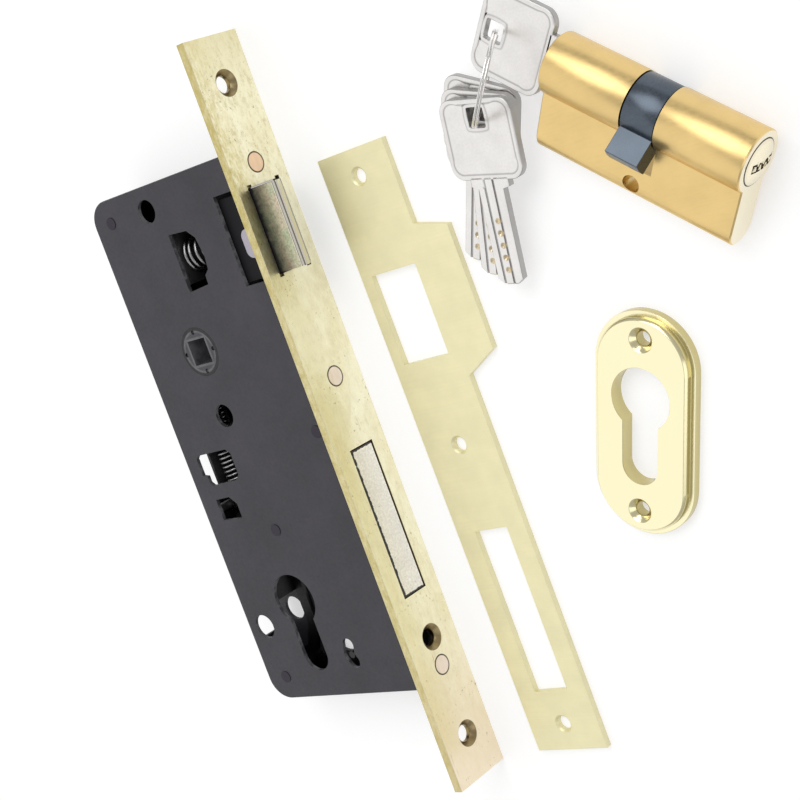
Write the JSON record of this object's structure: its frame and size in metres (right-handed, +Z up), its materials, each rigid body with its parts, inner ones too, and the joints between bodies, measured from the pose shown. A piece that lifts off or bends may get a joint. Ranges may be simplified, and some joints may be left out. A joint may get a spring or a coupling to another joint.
{
  "type": "mortise deadbolt door lock",
  "caption": "Mortise door lock set laid out flat: lock case with spring latch and two-throw deadbolt, strike plate, euro escutcheon, double euro cylinder, keys on a ring.",
  "frame": {"origin": "middle of the forend's two screw holes, on the forend's front face", "axes": "+X out of the forend, the way the bolts move out; +Y up the door; +Z up from the surface that the set lies on, out of the visible broad side"},
  "size_m": [0.2356, 0.24, 0.0234],
  "materials": {
    "black_steel": "matt black",
    "brushed_brass": "brushed, pale",
    "copper": "copper colour, flush",
    "plain_steel": "bright zinc",
    "zinc": "passivated",
    "nylon": "pale",
    "spring_steel": "bright",
    "bolt_steel": "nickel plated",
    "pale_brass": "satin, pale",
    "polished_brass": "polished, pale",
    "satin_brass": "satin",
    "blued_steel": "blued",
    "nickel_silver": "satin",
    "nickel_wire": "plated"
  },
  "bodies": {
    "lock": {"case_pan": "black_steel", "cover_plate": "black_steel", "forend": "brushed_brass", "forend_rivets": "copper", "case_posts": "plain_steel", "cover_screws": "plain_steel", "spring_plate": "plain_steel", "latch_spring": "spring_steel", "spring_bracket": "plain_steel", "follower_spring": "spring_steel", "detent_post": "plain_steel", "detent_spring": "spring_steel"},
    "latch": {"latch_bolt": "zinc", "latch_pads": "nylon", "latch_tail": "plain_steel"},
    "follower": {"follower": "zinc"},
    "latch_lever": {"latch_lever": "plain_steel"},
    "deadbolt": {"deadbolt_head": "bolt_steel", "deadbolt_tail": "plain_steel", "deadbolt_pins": "plain_steel"},
    "strike": {"strike_plate": "pale_brass"},
    "escutcheon": {"escutcheon": "polished_brass"},
    "cylinder": {"cylinder_body": "satin_brass", "front_plug": "satin_brass", "front_circlip": "plain_steel", "driver_pins": "satin_brass", "driver_springs": "spring_steel", "chamber_caps": "satin_brass", "front_key_pins": "satin_brass"},
    "turning_key": {"rear_plug": "satin_brass", "rear_circlip": "plain_steel", "cam": "blued_steel", "clutch": "plain_steel", "rear_key_pins": "satin_brass", "inserted_key": "nickel_silver"},
    "ring": {"key_ring": "nickel_wire"},
    "key_1": {"loose_key_1": "nickel_silver"},
    "key_2": {"loose_key_2": "nickel_silver"},
    "key_3": {"loose_key_3": "nickel_silver"}
  },
  "joints": [
    {"name": "latch_slide", "type": "slide", "parent": "lock", "child": "latch", "axis": [1, 0, 0], "range_m": [-0.011, 0], "stiffness_N_per_m": 400, "springref_m": 0.008, "deforming": ["latch_spring"]},
    {"name": "follower_turn", "type": "hinge", "parent": "lock", "child": "follower", "pos_m": [-0.045, 0.032, 0], "axis": [0, 0, 1], "range_deg": [0, 37.76], "deforming": ["follower_spring"]},
    {"name": "lever_turn", "type": "hinge", "parent": "lock", "child": "latch_lever", "pos_m": [-0.0628, -0.0791, 0], "axis": [0, 0, 1], "range_deg": [0, 4.84]},
    {"name": "deadbolt_throw", "type": "slide", "parent": "lock", "child": "deadbolt", "axis": [1, 0, 0], "range_m": [0, 0.02], "deforming": ["detent_spring"]},
    {"name": "strike_lift", "type": "slide", "parent": "lock", "child": "strike", "axis": [0, 0, 1], "range_m": [0, 0.08]},
    {"name": "escutcheon_lift", "type": "slide", "parent": "lock", "child": "escutcheon", "axis": [0, 0, 1], "range_m": [0, 0.08]},
    {"name": "cylinder_lift", "type": "slide", "parent": "lock", "child": "cylinder", "axis": [0, 0, 1], "range_m": [0, 0.08]},
    {"name": "key_turn", "type": "hinge", "parent": "cylinder", "child": "turning_key", "pos_m": [0.1358, 0.05886, -0.0025], "axis": [0.766, -0.6428, 0], "continuous": true},
    {"name": "ring_swing", "type": "hinge", "parent": "turning_key", "child": "ring", "pos_m": [0.0975, 0.091, -0.0025], "axis": [0.788, -0.6157, 0], "range_deg": [-20, 0]},
    {"name": "key_1_swing", "type": "hinge", "parent": "ring", "child": "key_1", "pos_m": [0.08262, 0.0758, -0.0066], "axis": [-0.0222, -0.0644, 0.9977], "range_deg": [-3, 14]},
    {"name": "key_2_swing", "type": "hinge", "parent": "ring", "child": "key_2", "pos_m": [0.08252, 0.07351, -0.0043], "axis": [-0.0222, -0.0644, 0.9977], "range_deg": [-8, 14]},
    {"name": "key_3_swing", "type": "hinge", "parent": "ring", "child": "key_3", "pos_m": [0.08293, 0.07189, -0.002], "axis": [-0.0222, -0.0644, 0.9977], "range_deg": [-14, 14]}
  ],
  "couplings": [
    {"joint": "follower_turn", "follows": "latch_slide", "rad_per_m": -59.901},
    {"joint": "lever_turn", "follows": "latch_slide", "rad_per_m": -7.6634}
  ]
}
